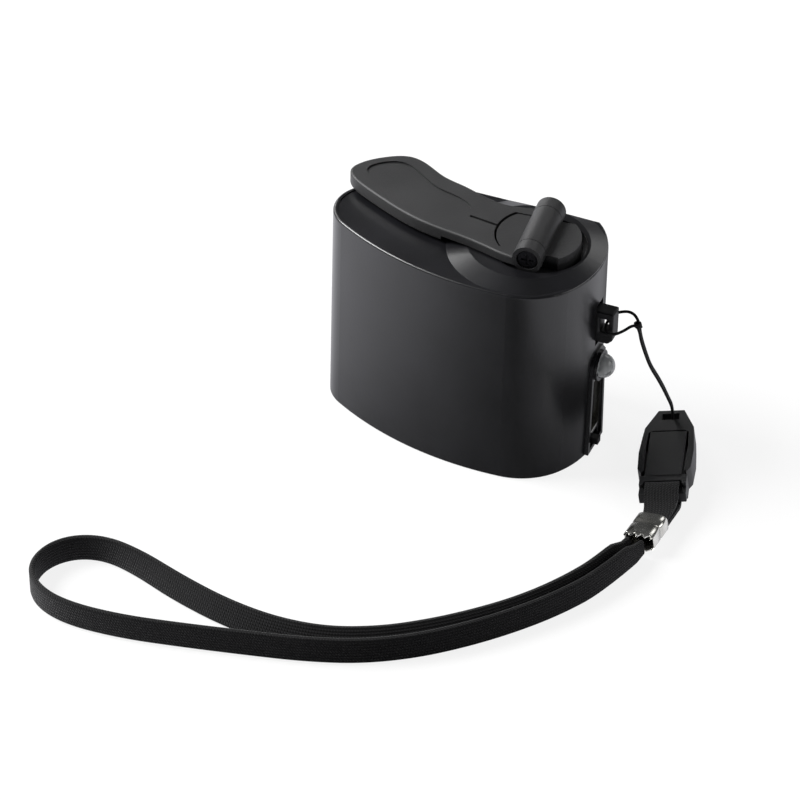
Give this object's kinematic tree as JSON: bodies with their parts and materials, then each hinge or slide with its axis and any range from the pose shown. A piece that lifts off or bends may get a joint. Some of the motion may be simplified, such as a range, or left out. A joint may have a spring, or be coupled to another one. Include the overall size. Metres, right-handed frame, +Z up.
{
  "type": "hand crank phone charger",
  "caption": "Palm-size dynamo charger standing on end, with a fold-out crank, geared generator, lamp, outlet socket, slide switch, lanyard lug and looped wrist strap.",
  "frame": {"origin": "centre of the housing's length and width on its flat base, z = 0 where it stands", "axes": "+X towards the end with the lamp, socket and lanyard lug, +Y across the two shells' seam, +Z up along the crank axis"},
  "size_m": [0.1092, 0.1097, 0.051],
  "materials": {
    "shell_plastic": "black moulded ABS, satin",
    "arm_plastic": "black moulded ABS, satin",
    "black_plastic": "black moulded plastic",
    "panel_plastic": "black moulded plastic, glossier",
    "steel": "plain steel",
    "plated_steel": "bright nickel plate",
    "brass": "turned brass",
    "copper": "enamelled copper wire",
    "gear_nylon": "natural nylon",
    "clear_lens": "clear epoxy",
    "board_laminate": "green glass epoxy laminate",
    "ferrite": "sintered magnet",
    "insulation": "PVC wire insulation",
    "sleeve": "shrink sleeve",
    "webbing": "woven polyester",
    "cord": "braided polyester cord"
  },
  "bodies": {
    "housing": {"front_shell": "shell_plastic", "rear_shell": "shell_plastic", "housing_screws": "steel", "lanyard_lug": "black_plastic", "end_panel": "panel_plastic", "led_lens": "clear_lens", "led_leads": "steel", "usb_socket": "plated_steel", "usb_tongue": "black_plastic", "usb_contacts": "brass", "switch_body": "black_plastic", "circuit_board": "board_laminate", "capacitor": "sleeve", "rectifier_diodes": "black_plastic", "voltage_regulator": "black_plastic", "choke_coil": "copper", "generator_leads": "insulation", "gearbox_base": "black_plastic", "gearbox_cover": "black_plastic", "gearbox_screws": "steel", "generator_screws": "steel", "gear_axles": "steel", "shaft_bush": "brass", "generator_can": "steel", "generator_cap": "black_plastic", "generator_terminals": "brass", "generator_magnets": "ferrite", "string_front": "cord", "string_rear": "cord", "string_tie": "cord", "buckle_plug": "black_plastic", "buckle_socket": "black_plastic", "short_webbing": "webbing", "strap_crimp": "plated_steel", "wrist_strap": "webbing"},
    "crank": {"crank_rotor": "arm_plastic", "crank_shaft": "steel", "crank_gear": "gear_nylon"},
    "arm": {"crank_arm": "arm_plastic", "hinge_pin": "steel", "knob_screw": "steel"},
    "knob": {"finger_knob": "black_plastic"},
    "first_gear_body": {"first_gear": "gear_nylon"},
    "second_gear_body": {"second_gear": "gear_nylon"},
    "generator_rotor": {"generator_shaft": "steel", "generator_pinion": "brass", "generator_armature": "copper"},
    "switch": {"switch_slider": "black_plastic"}
  },
  "joints": [
    {"name": "crank_spin", "type": "hinge", "parent": "housing", "child": "crank", "pos_m": [0.0147, 0, 0.044], "axis": [0, 0, 1], "continuous": true},
    {"name": "arm_fold", "type": "hinge", "parent": "crank", "child": "arm", "pos_m": [0.0147, 0, 0.048], "axis": [-0.0872, 0.9962, 0], "range_deg": [0, 180]},
    {"name": "knob_spin", "type": "hinge", "parent": "arm", "child": "knob", "pos_m": [-0.01853, 0.00693, 0.0458], "axis": [0, 0, 1], "continuous": true},
    {"name": "first_gear_spin", "type": "hinge", "parent": "housing", "child": "first_gear_body", "pos_m": [0.00101, 0.00291, 0.035], "axis": [0, 0, 1], "continuous": true},
    {"name": "second_gear_spin", "type": "hinge", "parent": "housing", "child": "second_gear_body", "pos_m": [-0.01171, -0.00099, 0.033], "axis": [0, 0, 1], "continuous": true},
    {"name": "generator_spin", "type": "hinge", "parent": "housing", "child": "generator_rotor", "pos_m": [0.00077, -0.00274, 0.02], "axis": [0, 0, 1], "continuous": true},
    {"name": "switch_slide", "type": "slide", "parent": "housing", "child": "switch", "axis": [0, 1, 0], "range_m": [0, 0.002]}
  ],
  "couplings": [
    {"joint": "first_gear_spin", "follows": "crank_spin", "ratio": -3},
    {"joint": "second_gear_spin", "follows": "crank_spin", "ratio": 8.4},
    {"joint": "generator_spin", "follows": "crank_spin", "ratio": -21.84}
  ]
}
